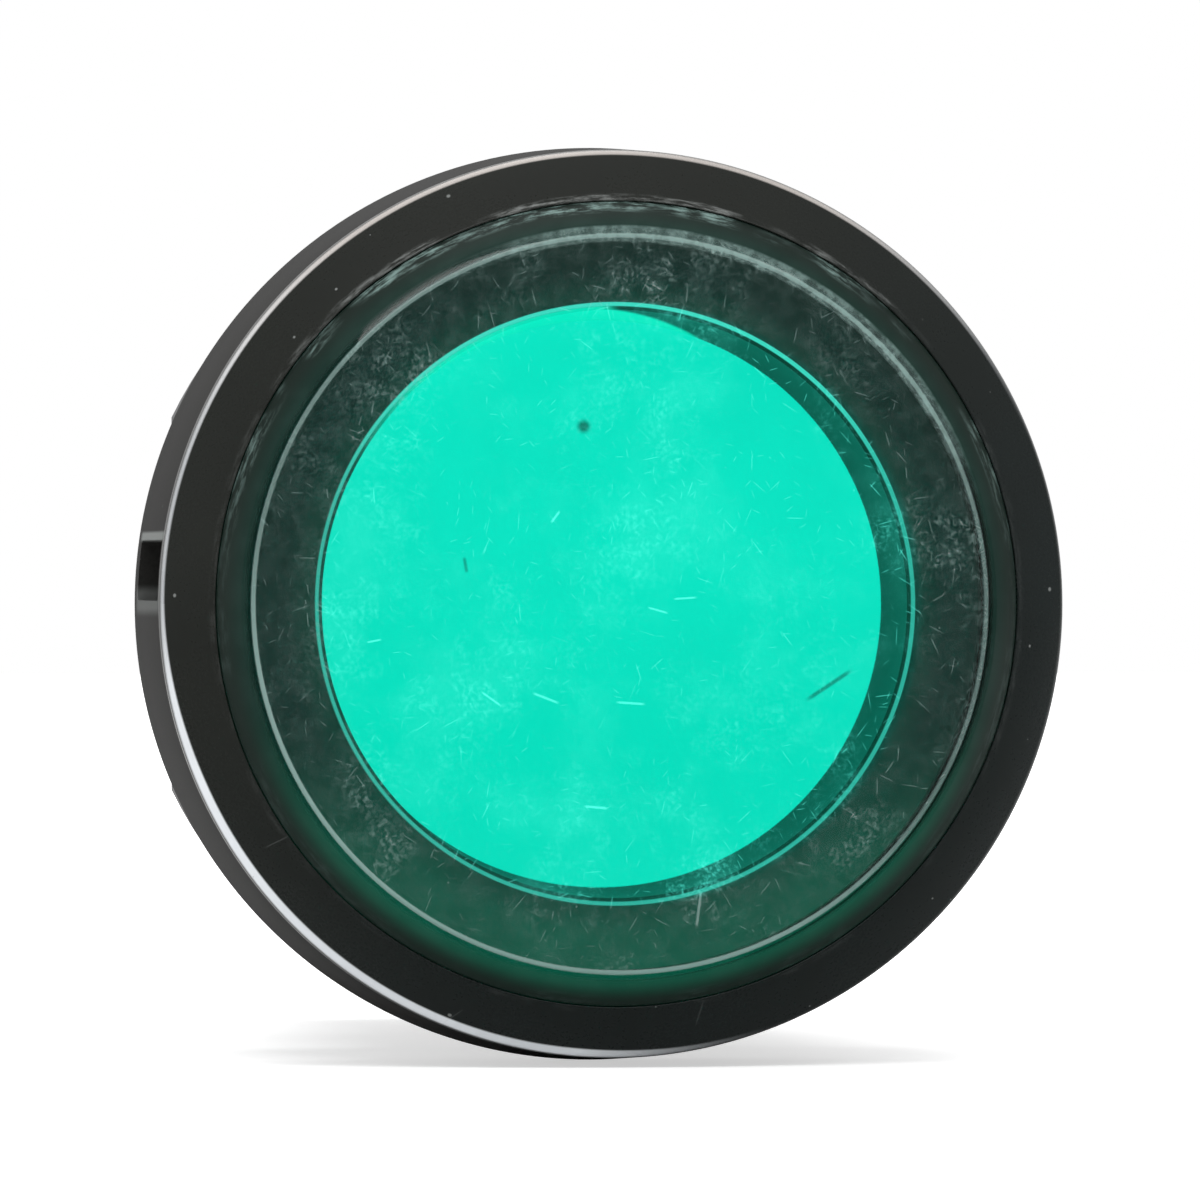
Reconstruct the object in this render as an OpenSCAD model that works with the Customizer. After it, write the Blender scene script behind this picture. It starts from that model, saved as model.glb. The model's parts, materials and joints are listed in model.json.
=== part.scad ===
// Panel pilot light for a 22.3 mm panel hole.
// Every piece is drawn about a local axis that points out of the lens, with height 0 on the
// front face of the panel, and mounted() then lays that axis along -Y.
// A depth is a distance behind the panel face, and a height is a distance in front of it.

/* [Head] */
// Diameter of the head at its foot
head_d = 29; // [28:0.1:35]
// Draft of the head's side wall, from its foot to its front edge
head_draft = 0.3; // [0.1:0.05:0.6]
// Height of the front edge above the panel
rim_h = 8.6; // [7:0.1:12]
// Radius of the front edge
rim_round = 0.35; // [0.1:0.05:0.6]
// Rise of the sloped crown from the edge to the lens
crown_rise = 1.2; // [0.8:0.05:1.6]
// Width of the sloped crown
crown_w = 1.65; // [1.4:0.05:2.2]
// Chamfer round the foot of the head
foot_chamfer = 0.3; // [0.1:0.05:0.6]
// Width of the lever notch in the side wall
notch_w = 1.9; // [1:0.1:4]
// Depth of the lever notch into the side wall
notch_deep = 0.7; // [0.3:0.05:1]
// Height at which the lever notch starts
notch_foot = 2.4; // [1.8:0.1:4]
// Wall left between the notch and the front edge
notch_top_wall = 0.7; // [0.4:0.1:2]
// Direction of the notch round the axis, in degrees from +X
notch_angle = 175.8; // [0:0.1:360]

/* [Lens] */
// Width of the lens's sloped shoulder
lens_slope_w = 1; // [0.6:0.05:2]
// Rise of the lens front above the crown
lens_rise = 0.95; // [0.6:0.05:2]
// Radius of the lens's front edge
lens_round = 0.35; // [0.1:0.05:0.5]
// Thickness of the lens plate
lens_plate_t = 2.1; // [1.4:0.05:2.6]
// Wall of the lens skirt
skirt_t = 0.9; // [0.6:0.05:1.1]
// Height of the snap bead on the skirt
bead_h = 0.25; // [0.15:0.05:0.35]
// Width of the snap bead
bead_w = 0.8; // [0.6:0.1:1]
// Cord diameter of the seal under the skirt
seal_cord = 0.9; // [0.7:0.05:1]
// Height of the floor that the seal lies on
seal_floor_h = 5; // [4.2:0.1:5.2]

/* [Light opening] */
// Widening of the opening from the diffuser to the lens, on the radius
opening_taper = 0.43; // [0.2:0.01:0.8]
// Bevel on the front edge of the opening
opening_bevel = 0.2; // [0.1:0.05:0.4]
// Width of the diffuser's edge that the collar covers
diffuser_lap = 0.45; // [0.3:0.05:0.8]
// Height of the diffuser's front face
diffuser_h = 3.8; // [3.4:0.1:4.6]
// Thickness of the diffuser's plate
diffuser_t = 1.2; // [0.8:0.1:1.5]
// Wall of the diffuser's skirt
diffuser_wall = 0.7; // [0.5:0.1:1]
// Space between the LED board and the diffuser's plate
mixing_space = 3.6; // [2.5:0.1:4.5]
// Height of the shoulder that the light collar stands on
shoulder_h = 3.2; // [2.8:0.1:3.3]

/* [Barrel] */
// Major diameter of the barrel's thread
thread_d = 21.7; // [18:0.05:22]
// Wall of the barrel under the thread
barrel_wall = 1.85; // [1.4:0.05:2.3]
// Step from the thread up to the plain neck that centres the light in the panel hole
neck_step = 0.2; // [0.2:0.05:0.4]
// Length of the neck behind the panel face
neck_len = 1.6; // [1:0.1:1.7]
// Depth of the barrel's rear end
barrel_len = 26; // [24:0.5:40]
// Chamfer on the rear end of the thread
barrel_chamfer = 0.5; // [0.2:0.1:0.8]
// Width of the ledge that the LED board lies on
board_ledge = 0.5; // [0.3:0.05:0.7]
// Width of the keyway along the barrel
keyway_w = 2; // [1.5:0.1:3]
// Depth of the keyway
keyway_deep = 0.9; // [0.5:0.05:1.1]

/* [Gasket] */
// Thickness of the gasket
gasket_t = 1.2; // [0.8:0.1:1.6]
// Distance from the head's edge to the gasket's edge
gasket_inset = 0.65; // [0.4:0.05:1]
// Width of the land that the gasket is stretched over, outside the neck
land_w = 0.55; // [0.4:0.05:1]
// Distance that the land stays in front of the panel face
land_short = 0.1; // [0.05:0.05:0.4]

/* [Fixing] */
// Gap for the panel, from the gasket to the lock washer
panel_gap = 5; // [4.5:0.1:8]
// Thickness of the lock washer
washer_t = 0.8; // [0.5:0.1:1.2]
// Outer diameter of the lock washer
washer_d = 26.8; // [25:0.1:28]
// Number of bite ribs on the lock washer's front
rib_n = 12; // [4:1:16]
// Height of a bite rib
rib_h = 0.25; // [0.1:0.05:0.4]
// Width of a bite rib
rib_w = 0.5; // [0.3:0.1:1]
// Thickness of the ring nut
nut_t = 5; // [3:0.5:8]
// Width of the ring nut across its flats
nut_af = 25; // [24.6:0.1:30]
// Depth of the turned corners of the ring nut
nut_corner = 1.4; // [0.8:0.1:1.8]
// Step from the ring nut's flats in to its front collar
nut_collar_step = 0.2; // [0.1:0.05:0.6]
// Height of the ring nut's front collar
nut_collar_t = 0.6; // [0.3:0.1:1]

/* [Terminals] */
// Step from the thread in to the terminal base, which lets the nut pass
base_step = 0.85; // [0.8:0.05:1.2]
// Length of the terminal base behind the barrel
base_len = 11.5; // [11:0.5:16]
// Length of the plug that goes into the barrel
plug_len = 4; // [3:0.5:5]
// Width of a terminal pocket
pocket_w = 7.4; // [7:0.1:8]
// Thickness of the wall between the two pockets
barrier_t = 2; // [1.2:0.1:2.4]
// Depth of the pocket floor behind the barrel
pocket_floor = 4; // [3.5:0.5:4.5]
// Thickness of a terminal plate
plate_t = 1; // [0.8:0.1:1.5]
// Distance from the base's edge to a terminal plate's outer edge
plate_inset = 1.7; // [1.4:0.1:2.5]
// Width of a terminal plate's tail
tail_w = 3; // [2:0.1:3.6]
// Thickness of a terminal plate's tail
tail_t = 0.8; // [0.5:0.1:1]
// Step from a terminal plate's edge in to the wire clamp's edge
clamp_step = 0.3; // [0.1:0.05:0.6]
// Thickness of a wire clamp
clamp_t = 0.9; // [0.6:0.1:1.1]
// Height of the lips under a wire clamp
clamp_lip = 0.5; // [0.2:0.1:0.6]
// Width of the lips under a wire clamp
lip_w = 0.8; // [0.5:0.1:1]
// Diameter of a terminal screw's thread
screw_d = 3; // [2.5:0.1:3.6]
// Length of a terminal screw below its head
screw_len = 6.4; // [5:0.1:6.8]
// Step from a terminal screw's thread out to the edge of its head
screw_head_step = 1.3; // [0.8:0.1:1.4]
// Height of a terminal screw's head
screw_head_t = 2.1; // [1.5:0.1:2.4]
// Width of the cross slot in a screw head
cross_w = 0.8; // [0.5:0.1:1]
// Depth of the cross slot in a screw head
cross_deep = 1.1; // [0.6:0.1:1.4]

/* [Guard] */
// Thickness of the terminal guard
guard_t = 1.2; // [0.8:0.1:2]
// Diameter of the screwdriver holes in the guard
driver_hole_d = 6; // [4:0.1:7]
// Width of the guard's snap legs
leg_w = 5; // [3:0.1:6]
// Thickness of the guard's snap legs
leg_t = 1; // [0.8:0.1:1.4]
// Length of the guard's snap legs
leg_len = 5; // [3:0.1:6]
// Reach of the hook on a snap leg
hook_reach = 0.3; // [0.1:0.05:0.5]
// Thickness of the hook on a snap leg
hook_t = 0.8; // [0.5:0.1:1.5]

/* [Boards] */
// Thickness of the LED board
led_board_t = 1; // [0.8:0.1:1.6]
// Length of an LED, along the radius
led_l = 3; // [2:0.1:3.5]
// Width of an LED
led_w = 2; // [1.5:0.1:2.4]
// Height of an LED
led_t = 1.4; // [0.8:0.1:2]
// Radius of an LED's window
led_window_r = 0.7; // [0.4:0.05:0.9]
// Distance from the ring of LEDs to the diffuser's skirt
led_edge_gap = 1.6; // [0.6:0.1:2]
// Number of LEDs in the ring
led_ring_n = 6; // [3:1:6]
// Thickness of the driver board
driver_t = 1.6; // [1:0.1:1.6]
// Height of the driver board's upper face off the axis
driver_face = 2.4; // [2:0.1:2.6]
// Gap between the LED board and the driver board
board_gap = 1; // [0.6:0.1:2]
// Radius of the pins that join the boards
pin_r = 0.35; // [0.25:0.05:0.5]
// Distance of a pin from the middle of the board
pin_x = 2.9; // [2:0.1:4]
// Length and width of the film capacitor
film_cap_side = 11; // [8:0.5:11]
// Diameter of the smoothing capacitor
smooth_cap_d = 4.6; // [3:0.1:5]
// Length of the smoothing capacitor
smooth_cap_len = 8; // [5:0.5:9]
// Radius of a resistor's ends
resistor_r = 1.15; // [0.8:0.05:1.3]
// Length of a resistor's body
resistor_len = 6.3; // [4:0.1:7]
// Distance between the resistors
resistor_pitch = 3.6; // [3:0.1:4]
// Length of the rectifier
rectifier_len = 4; // [3:0.1:4.6]

/* [Clearances] */
// Radial gap of a pushed-in round piece
push_gap = 0.05; // [0.02:0.01:0.1]
// Gap round the lens in the head
lens_gap = 0.1; // [0.05:0.01:0.15]
// Radial running gap of the ring nut on the thread
nut_gap = 0.05; // [0.02:0.01:0.1]
// Radial gap of the lock washer on the neck
washer_gap = 0.08; // [0.04:0.01:0.1]
// Gap round a key, tail or leg in its slot
slot_gap = 0.15; // [0.05:0.01:0.2]
// Radial running gap of a terminal screw in its plate
screw_gap = 0.05; // [0.02:0.01:0.1]
// Gap between the barrel's bore and what stands in it
bore_gap = 0.4; // [0.2:0.05:0.8]
// Gap between a terminal plate and the barrier
barrier_gap = 0.3; // [0.1:0.05:0.5]

/* [Hidden] */
$fn = 96;
small = 0.01;

// Head and lens
head_r = head_d / 2;
rim_r = head_r - head_draft;
crown_h = rim_h + crown_rise;
recess_r = rim_r - crown_w;
lens_r = recess_r - lens_gap;
lens_flat_r = lens_r - lens_slope_w;
lens_top_h = crown_h + lens_rise;
lens_back_h = lens_top_h - lens_plate_t;
skirt_in_r = lens_r - skirt_t;
skirt_foot_h = seal_floor_h + seal_cord + push_gap;
bead_r = recess_r + bead_h - lens_gap;
bead_lead = 0.4;
bead_foot_h = skirt_foot_h + bead_lead;
bead_top_h = bead_foot_h + bead_w;
collar_r = skirt_in_r - slot_gap;
collar_h = lens_back_h - push_gap;
notch_r = head_r - head_draft - notch_deep;
wall_lean = atan2(head_draft, rim_h - gasket_t);
crown_lean = atan2(crown_w, crown_rise);

// Barrel and what stands in it
thread_r = thread_d / 2;
neck_r = thread_r + neck_step;
land_r = neck_r + land_w;
bore_r = thread_r - barrel_wall;
board_bore_r = bore_r + board_ledge;
diffuser_r = board_bore_r - 2 * push_gap;
opening_back_r = diffuser_r - diffuser_lap;
opening_front_r = opening_back_r + opening_taper;
board_back_h = diffuser_h - diffuser_t - mixing_space - led_board_t;
board_front_h = board_back_h + led_board_t;
keyway_r = thread_r - keyway_deep;
led_ring_r = sqrt(pow(diffuser_r - diffuser_wall, 2) - pow(led_w / 2, 2)) - led_l / 2 - led_edge_gap;
driver_under = driver_face - driver_t;
driver_w = 2 * (sqrt(pow(bore_r - bore_gap, 2) - pow(driver_face, 2)) - push_gap);
film_cap_low = -sqrt(pow(bore_r - bore_gap, 2) - pow(film_cap_side / 2, 2));
driver_front = board_gap - board_back_h;
parts_depth = driver_front + 2;

// Ring nut, washer and terminals
nut_depth = panel_gap + washer_t;
base_r = thread_r - base_step;
base_end = barrel_len + base_len;
plug_depth = barrel_len - plug_len;
board_socket = 1.5;
driver_back = plug_depth + board_socket;
plate_depth = barrel_len + pocket_floor;
plate_top = plate_depth + plate_t;
clamp_depth = plate_top + clamp_lip;
clamp_top = clamp_depth + clamp_t;
plate_side = base_r - plate_inset - barrier_t / 2 - barrier_gap;
clamp_side = plate_side - 2 * clamp_step;
terminal_x = barrier_t / 2 + barrier_gap + plate_side / 2;
tail_y = driver_face + push_gap + tail_t / 2;
tail_end = plug_depth - board_socket;
screw_r = screw_d / 2;
screw_head_r = screw_r + screw_head_step;
leg_root = base_r - leg_t;
leg_end = base_end - leg_len;

// Turns the local axis so that the lens looks along -Y
module mounted() { rotate([90, 0, 0]) children(); }

// Extrudes a flat shape between two depths behind the panel face
module slab(from, to) { translate([0, 0, -to]) linear_extrude(to - from) children(); }

// Flat rectangle centred on a point
module plate_at(x, y, w, h) { translate([x, y]) square([w, h], center = true); }

// Draws a piece and its twin on the other side of the barrier
module both_sides() { for (side = [0, 1]) mirror([side, 0, 0]) children(); }

// Draws a piece above the axis and its twin below
module top_and_bottom() { for (side = [0, 1]) mirror([0, side, 0]) children(); }

// Points of an arc, for the edges of turned profiles
function arc(x, y, r, a0, a1, n) =
    [for (i = [0:n]) let (a = a0 + (a1 - a0) * i / n) [x + r * cos(a), y + r * sin(a)]];

// One moulding: crowned head, gasket land, neck and threaded barrel round one stepped bore
module housing() {
    outside = concat(
        [[bore_r, -barrel_len], [thread_r - barrel_chamfer, -barrel_len]],
        [[thread_r, -barrel_len + barrel_chamfer], [thread_r, -neck_len]],
        [[neck_r, -neck_len], [neck_r, land_short], [land_r, land_short]],
        [[land_r, gasket_t], [head_r - foot_chamfer, gasket_t], [head_r, gasket_t + foot_chamfer]],
        arc(rim_r - rim_round, rim_h - rim_round, rim_round, wall_lean, crown_lean, 5),
        arc(recess_r + lens_gap, crown_h - lens_gap, lens_gap, crown_lean, 90, 2),
        [[recess_r, crown_h]]
    );
    inside = [
        [recess_r, bead_top_h + lens_gap], [bead_r + lens_gap, bead_top_h],
        [bead_r + lens_gap, bead_foot_h], [recess_r, bead_foot_h - lens_gap],
        [recess_r, seal_floor_h], [collar_r + push_gap, seal_floor_h],
        [collar_r + push_gap, shoulder_h], [board_bore_r, shoulder_h],
        [board_bore_r, board_back_h], [bore_r, board_back_h]
    ];
    color("#1c1d1f") mounted() difference() {
        rotate_extrude() polygon(concat(outside, inside));
        slab(-land_short, barrel_len + small)
            plate_at(0, -keyway_r - keyway_w, keyway_w, 2 * keyway_w);
        rotate(notch_angle) translate([notch_r, -notch_w / 2, notch_foot])
            cube([2 * notch_deep, notch_w, rim_h - notch_top_wall - notch_foot]);
    }
}

// Clear green cap: flat front, sloped shoulder, and a skirt with a snap bead
module lens() {
    front = concat(
        [[0, lens_top_h]],
        arc(lens_flat_r - lens_round, lens_top_h - lens_round, lens_round, 90, 20, 4),
        [[lens_r, crown_h], [lens_r, bead_top_h], [bead_r, bead_top_h - bead_h]]
    );
    skirt = [
        [bead_r, bead_foot_h + bead_h], [lens_r, bead_foot_h], [lens_r, skirt_foot_h],
        [skirt_in_r, skirt_foot_h], [skirt_in_r, lens_back_h], [0, lens_back_h]
    ];
    color("#0f6b55", 0.6) mounted() rotate_extrude() polygon(concat(front, skirt));
}

// Round seal on the floor below the skirt
module lens_seal() {
    color("#222222") mounted() translate([0, 0, seal_floor_h + seal_cord / 2])
        rotate_extrude() translate([(skirt_in_r + lens_r) / 2, 0]) circle(d = seal_cord, $fn = 24);
}

// Collar that carries the lens plate and narrows to the diffuser
module light_collar() {
    lap_r = diffuser_r + push_gap;
    lap_h = diffuser_h + push_gap;
    color("#20302c") mounted() rotate_extrude() polygon([
        [opening_front_r, collar_h], [opening_front_r - opening_bevel, collar_h - opening_bevel],
        [opening_back_r, lap_h], [lap_r, lap_h], [lap_r, shoulder_h],
        [collar_r, shoulder_h], [collar_r, collar_h]
    ]);
}

// Milky cap over the LEDs
module diffuser() {
    inside_r = diffuser_r - diffuser_wall;
    inside_h = diffuser_h - diffuser_t;
    color("#00e8c2") mounted() rotate_extrude() polygon([
        [0, diffuser_h], [diffuser_r, diffuser_h], [diffuser_r, board_front_h],
        [inside_r, board_front_h], [inside_r, inside_h], [0, inside_h]
    ]);
}

// Places a pin's outline on each side of the driver board's middle
module at_pins() {
    for (side = [-1, 1]) translate([side * pin_x, driver_face + pin_r]) children();
}

// Round board on the ledge of the bore
module led_board() {
    color("#e8e8e0") mounted() slab(-board_front_h, -board_back_h) difference() {
        circle(diffuser_r);
        at_pins() circle(pin_r + push_gap, $fn = 24);
    }
}

// One surface-mounted LED with a clipped corner and a round window
module led() {
    clip = led_w / 4;
    window_deep = led_t / 3;
    difference() {
        linear_extrude(led_t) polygon([
            [-led_l / 2, -led_w / 2], [led_l / 2, -led_w / 2], [led_l / 2, led_w / 2 - clip],
            [led_l / 2 - clip, led_w / 2], [-led_l / 2, led_w / 2]
        ]);
        translate([0, 0, led_t - window_deep]) cylinder(h = led_t, r = led_window_r);
    }
}

// One LED on the axis and a ring of others
module leds() {
    color("#f4f4d8") mounted() translate([0, 0, board_front_h]) {
        led();
        for (i = [0:led_ring_n - 1]) rotate(i * 360 / led_ring_n) translate([led_ring_r, 0, 0]) led();
    }
}

// Pins that join the two boards
module link_pins() {
    color("#c9a03c") mounted() slab(-board_front_h, parts_depth) at_pins() circle(pin_r, $fn = 24);
}

// Board that lies along the barrel
module driver_board() {
    color("#2f6b3a") mounted() slab(driver_front, driver_back)
        plate_at(0, driver_face - driver_t / 2, driver_w, driver_t);
}

// Boxed film capacitor with bevelled corners, under the board
module film_capacitor() {
    half = film_cap_side / 2;
    bevel = 0.8;
    color("#b58a2a") mounted() slab(parts_depth, parts_depth + film_cap_side) polygon([
        [-half, driver_under], [half, driver_under], [half, film_cap_low + bevel],
        [half - bevel, film_cap_low], [bevel - half, film_cap_low], [-half, film_cap_low + bevel]
    ]);
}

// Round smoothing capacitor across the underside of the board, with its crimped groove
module smoothing_capacitor() {
    r = smooth_cap_d / 2;
    crimp = 0.3;
    groove = smooth_cap_len - 5 * crimp;
    color("#2a3550") mounted()
        translate([-smooth_cap_len / 2, driver_under - r, r + crimp - plug_depth])
            rotate([0, 90, 0]) rotate_extrude() polygon([
                [0, 0], [r - crimp, 0], [r, crimp], [r, groove - crimp], [r - crimp, groove],
                [r, groove + crimp], [r, smooth_cap_len - crimp], [r - crimp, smooth_cap_len],
                [0, smooth_cap_len]
            ]);
}

// One axial resistor with swollen ends, lying along X with its leads bent down to the board
module resistor() {
    lead_r = 0.3;
    waist = resistor_r - 0.15;
    cap = resistor_r + 0.25;
    reach = resistor_len / 2 + 1;
    half = concat(
        [[0, 0], [resistor_r - 0.3, 0], [resistor_r, 0.4], [resistor_r, cap], [waist, cap + 0.3]]
    );
    other = [for (i = [len(half) - 1:-1:0]) [half[i][0], resistor_len - half[i][1]]];
    rotate([0, 90, 0]) translate([0, 0, -resistor_len / 2]) rotate_extrude()
        polygon(concat(half, other));
    rotate([0, 90, 0]) cylinder(h = 2 * reach, r = lead_r, center = true, $fn = 24);
    for (side = [-1, 1]) translate([side * reach, 0, 0]) {
        sphere(lead_r, $fn = 24);
        rotate([90, 0, 0]) cylinder(h = resistor_r + 2 * push_gap, r = lead_r, $fn = 24);
    }
}

// Two resistors on the upper face of the board
module resistors() {
    lift = driver_face + resistor_r + 2 * push_gap;
    color("#c8a878") mounted() for (i = [0, 1])
        translate([0, lift, -parts_depth - 2 - i * resistor_pitch]) resistor();
}

// Moulded bridge rectifier with four feet
module rectifier() {
    depth = parts_depth + 2 * resistor_pitch + 2;
    half = 2.3;
    height = 1.9;
    foot = 0.4;
    color("#202020") mounted() {
        slab(depth, depth + rectifier_len) polygon([
            [-half, driver_face + foot / 4], [half, driver_face + foot / 4],
            [half - 0.3, driver_face + height], [0.3 - half, driver_face + height]
        ]);
        for (side = [-1, 1], row = [foot, rectifier_len - 3 * foot])
            slab(depth + row, depth + row + 2 * foot)
                plate_at(side * (half + foot), driver_face + foot / 2, 3 * foot, foot);
    }
}

// One moulding: plug in the barrel, two open pockets and the barrier between them
module terminal_base() {
    leg_slot_w = leg_w + 2 * slot_gap;
    color("#202124") mounted() difference() {
        union() {
            slab(plug_depth, barrel_len + small) circle(bore_r - push_gap);
            slab(barrel_len, base_end) circle(base_r);
        }
        both_sides() {
            slab(plate_depth, base_end + small)
                translate([barrier_t / 2, -pocket_w / 2]) square([base_r, pocket_w]);
            slab(clamp_top - screw_len - 2 * screw_gap, base_end)
                translate([terminal_x, 0]) circle(screw_r + slot_gap);
            slab(plug_depth - small, base_end)
                plate_at(terminal_x, tail_y, tail_w + 2 * slot_gap, tail_t + 2 * push_gap);
        }
        slab(plug_depth - small, driver_back + slot_gap) plate_at(
            0, driver_face - driver_t / 2, driver_w + 2 * slot_gap, driver_t + 2 * push_gap
        );
        top_and_bottom() {
            slab(leg_end - slot_gap, base_end + small)
                plate_at(0, leg_root - slot_gap + leg_t, leg_slot_w, 2 * leg_t);
            slab(leg_end - slot_gap, leg_end + hook_t + slot_gap)
                plate_at(0, leg_root - slot_gap - hook_reach + leg_t, leg_slot_w, 2 * leg_t);
        }
    }
}

// Brass plate with a tapped hole, and a tail that runs down to the board
module terminal_plate() {
    color("#c9a03c") mounted() {
        slab(plate_depth, plate_top) difference() {
            plate_at(terminal_x, 0, plate_side, plate_side);
            translate([terminal_x, 0]) circle(screw_r + screw_gap);
        }
        slab(tail_end, plate_depth + small) plate_at(terminal_x, tail_y, tail_w, tail_t);
    }
}

module terminal_plate_a() { terminal_plate(); }

module terminal_plate_b() { mirror([1, 0, 0]) terminal_plate(); }

// Square clamp under the screw head, with a lip down each side
module wire_clamp() {
    color("#c8cacc") mounted() {
        slab(clamp_depth, clamp_top) difference() {
            plate_at(terminal_x, 0, clamp_side, clamp_side);
            translate([terminal_x, 0]) circle(screw_r + 2 * screw_gap);
        }
        top_and_bottom() slab(plate_top, clamp_depth + small)
            plate_at(terminal_x, (clamp_side - lip_w) / 2, clamp_side, lip_w);
    }
}

module wire_clamp_a() { wire_clamp(); }

module wire_clamp_b() { mirror([1, 0, 0]) wire_clamp(); }

// Pan-head screw with a cross slot
module terminal_screw() {
    tip = 0.5;
    dome = 0.8;
    cross_l = 2 * (screw_head_r - 1);
    color("#d8dadc") mounted() translate([terminal_x, 0, -clamp_top]) difference() {
        rotate_extrude() polygon(concat(
            [[0, screw_len], [screw_r - tip, screw_len], [screw_r, screw_len - tip]],
            [[screw_r, 0], [screw_head_r, 0]],
            arc(screw_head_r - dome, dome - screw_head_t, dome, 0, -90, 4),
            [[0, -screw_head_t]]
        ));
        for (turn = [20, 110]) rotate(turn)
            translate([-cross_l / 2, -cross_w / 2, -screw_head_t - small])
                cube([cross_l, cross_w, cross_deep + small]);
    }
}

module terminal_screw_a() { terminal_screw(); }

module terminal_screw_b() { mirror([1, 0, 0]) terminal_screw(); }

// Clear cover with screwdriver holes and two snap legs
module terminal_guard() {
    color("#dfe8ea", 0.4) mounted() {
        slab(base_end, base_end + guard_t) difference() {
            circle(base_r);
            both_sides() translate([terminal_x, 0]) circle(d = driver_hole_d);
        }
        top_and_bottom() {
            slab(leg_end, base_end + small) intersection() {
                circle(base_r);
                plate_at(0, leg_root + leg_t, leg_w, 2 * leg_t);
            }
            slab(leg_end, leg_end + hook_t)
                plate_at(0, leg_root - hook_reach + leg_t / 2, leg_w, leg_t);
        }
    }
}

// Rubber ring between the head and the panel, with a rounded edge
module gasket() {
    in_r = land_r + lens_gap;
    out_r = head_r - gasket_inset;
    edge = gasket_t / 8;
    color("#2b2b2b") mounted() rotate_extrude() polygon([
        [in_r, 0], [out_r - edge, 0], [out_r, gasket_t / 2], [out_r - edge, gasket_t],
        [in_r, gasket_t]
    ]);
}

// Steel washer with a key that runs in the keyway and radial bite ribs on its front
module lock_washer() {
    in_r = neck_r + washer_gap;
    out_r = washer_d / 2;
    key_r = keyway_r + slot_gap;
    key_root = in_r + rib_w;
    rib_l = out_r - in_r - 2 * rib_w;
    color("#b9bcc0") mounted() {
        slab(panel_gap, nut_depth) union() {
            difference() {
                circle(out_r);
                circle(in_r);
            }
            plate_at(0, -(key_r + key_root) / 2, keyway_w - 2 * slot_gap, key_root - key_r);
        }
        for (i = [0:rib_n - 1]) rotate((i + 0.5) * 360 / rib_n)
            slab(panel_gap - rib_h, panel_gap + small)
                plate_at((in_r + out_r) / 2, 0, rib_l, rib_w);
    }
}

// Hexagonal ring nut with turned corners and a round collar on its front
module ring_nut() {
    hex_front = -nut_depth - nut_collar_t;
    hex_back = -nut_depth - nut_t;
    flat_r = nut_af / 2;
    turned_r = flat_r + nut_corner;
    chamfer = 0.9 * nut_corner;
    color("#232426") mounted() difference() {
        union() {
            intersection() {
                slab(-hex_front, -hex_back) rotate(30) circle(flat_r / cos(30), $fn = 6);
                rotate_extrude() polygon([
                    [0, hex_front + small], [flat_r, hex_front + small],
                    [turned_r, hex_front - chamfer / 2], [turned_r, hex_back + chamfer / 2],
                    [flat_r, hex_back - small], [0, hex_back - small]
                ]);
            }
            slab(nut_depth, nut_depth + nut_collar_t + small) circle(flat_r - nut_collar_step);
        }
        slab(nut_depth - small, nut_depth + nut_t + small) circle(thread_r + nut_gap);
    }
}

housing();
lens();
lens_seal();
light_collar();
diffuser();
led_board();
leds();
link_pins();
driver_board();
film_capacitor();
smoothing_capacitor();
resistors();
rectifier();
terminal_base();
terminal_plate_a();
terminal_plate_b();
wire_clamp_a();
wire_clamp_b();
terminal_screw_a();
terminal_screw_b();
terminal_guard();
gasket();
lock_washer();
ring_nut();
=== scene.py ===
"""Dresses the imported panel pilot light: fine meshes, finishes, floor, light and camera."""

import json
import logging
from dataclasses import dataclass
from enum import Enum
from math import atan2, cos, pi, radians, sin
from typing import Optional, Sequence, Union

import bmesh
import bpy
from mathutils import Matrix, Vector


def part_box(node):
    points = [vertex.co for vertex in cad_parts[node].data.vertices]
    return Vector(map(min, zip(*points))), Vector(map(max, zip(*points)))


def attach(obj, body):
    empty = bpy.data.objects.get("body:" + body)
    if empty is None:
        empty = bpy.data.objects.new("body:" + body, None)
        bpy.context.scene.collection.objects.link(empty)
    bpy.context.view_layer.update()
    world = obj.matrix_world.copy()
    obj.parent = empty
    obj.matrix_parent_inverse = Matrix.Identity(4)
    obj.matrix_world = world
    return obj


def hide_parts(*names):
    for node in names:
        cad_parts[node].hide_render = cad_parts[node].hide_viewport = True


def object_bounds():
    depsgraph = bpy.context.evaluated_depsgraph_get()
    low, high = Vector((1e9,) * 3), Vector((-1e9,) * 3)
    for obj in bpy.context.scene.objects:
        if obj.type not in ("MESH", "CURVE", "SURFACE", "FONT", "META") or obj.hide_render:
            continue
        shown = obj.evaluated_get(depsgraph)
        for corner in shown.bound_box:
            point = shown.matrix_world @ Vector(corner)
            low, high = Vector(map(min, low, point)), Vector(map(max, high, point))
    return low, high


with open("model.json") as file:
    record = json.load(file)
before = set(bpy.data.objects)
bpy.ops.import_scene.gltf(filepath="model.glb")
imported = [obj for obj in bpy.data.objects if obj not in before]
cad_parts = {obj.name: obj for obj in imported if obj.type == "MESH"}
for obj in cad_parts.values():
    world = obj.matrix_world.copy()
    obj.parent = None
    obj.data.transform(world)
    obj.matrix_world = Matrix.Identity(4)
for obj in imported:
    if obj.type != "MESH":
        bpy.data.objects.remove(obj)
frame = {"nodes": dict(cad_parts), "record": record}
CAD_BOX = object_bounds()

MM = 0.001
LOG = logging.getLogger("pilot_light")
Point = tuple[float, float]
Colour = tuple[float, float, float]


def reach(node: str, axis: int, high: bool = True) -> float:
    """Gives one side of a CAD node's box.

    Args:
        node: Name of the CAD node.
        axis: 0 for X, 1 for Y and 2 for Z.
        high: Whether the upper side is wanted.

    Returns:
        The side's place, in mm.
    """
    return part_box(node)[1 if high else 0][axis] / MM


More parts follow.
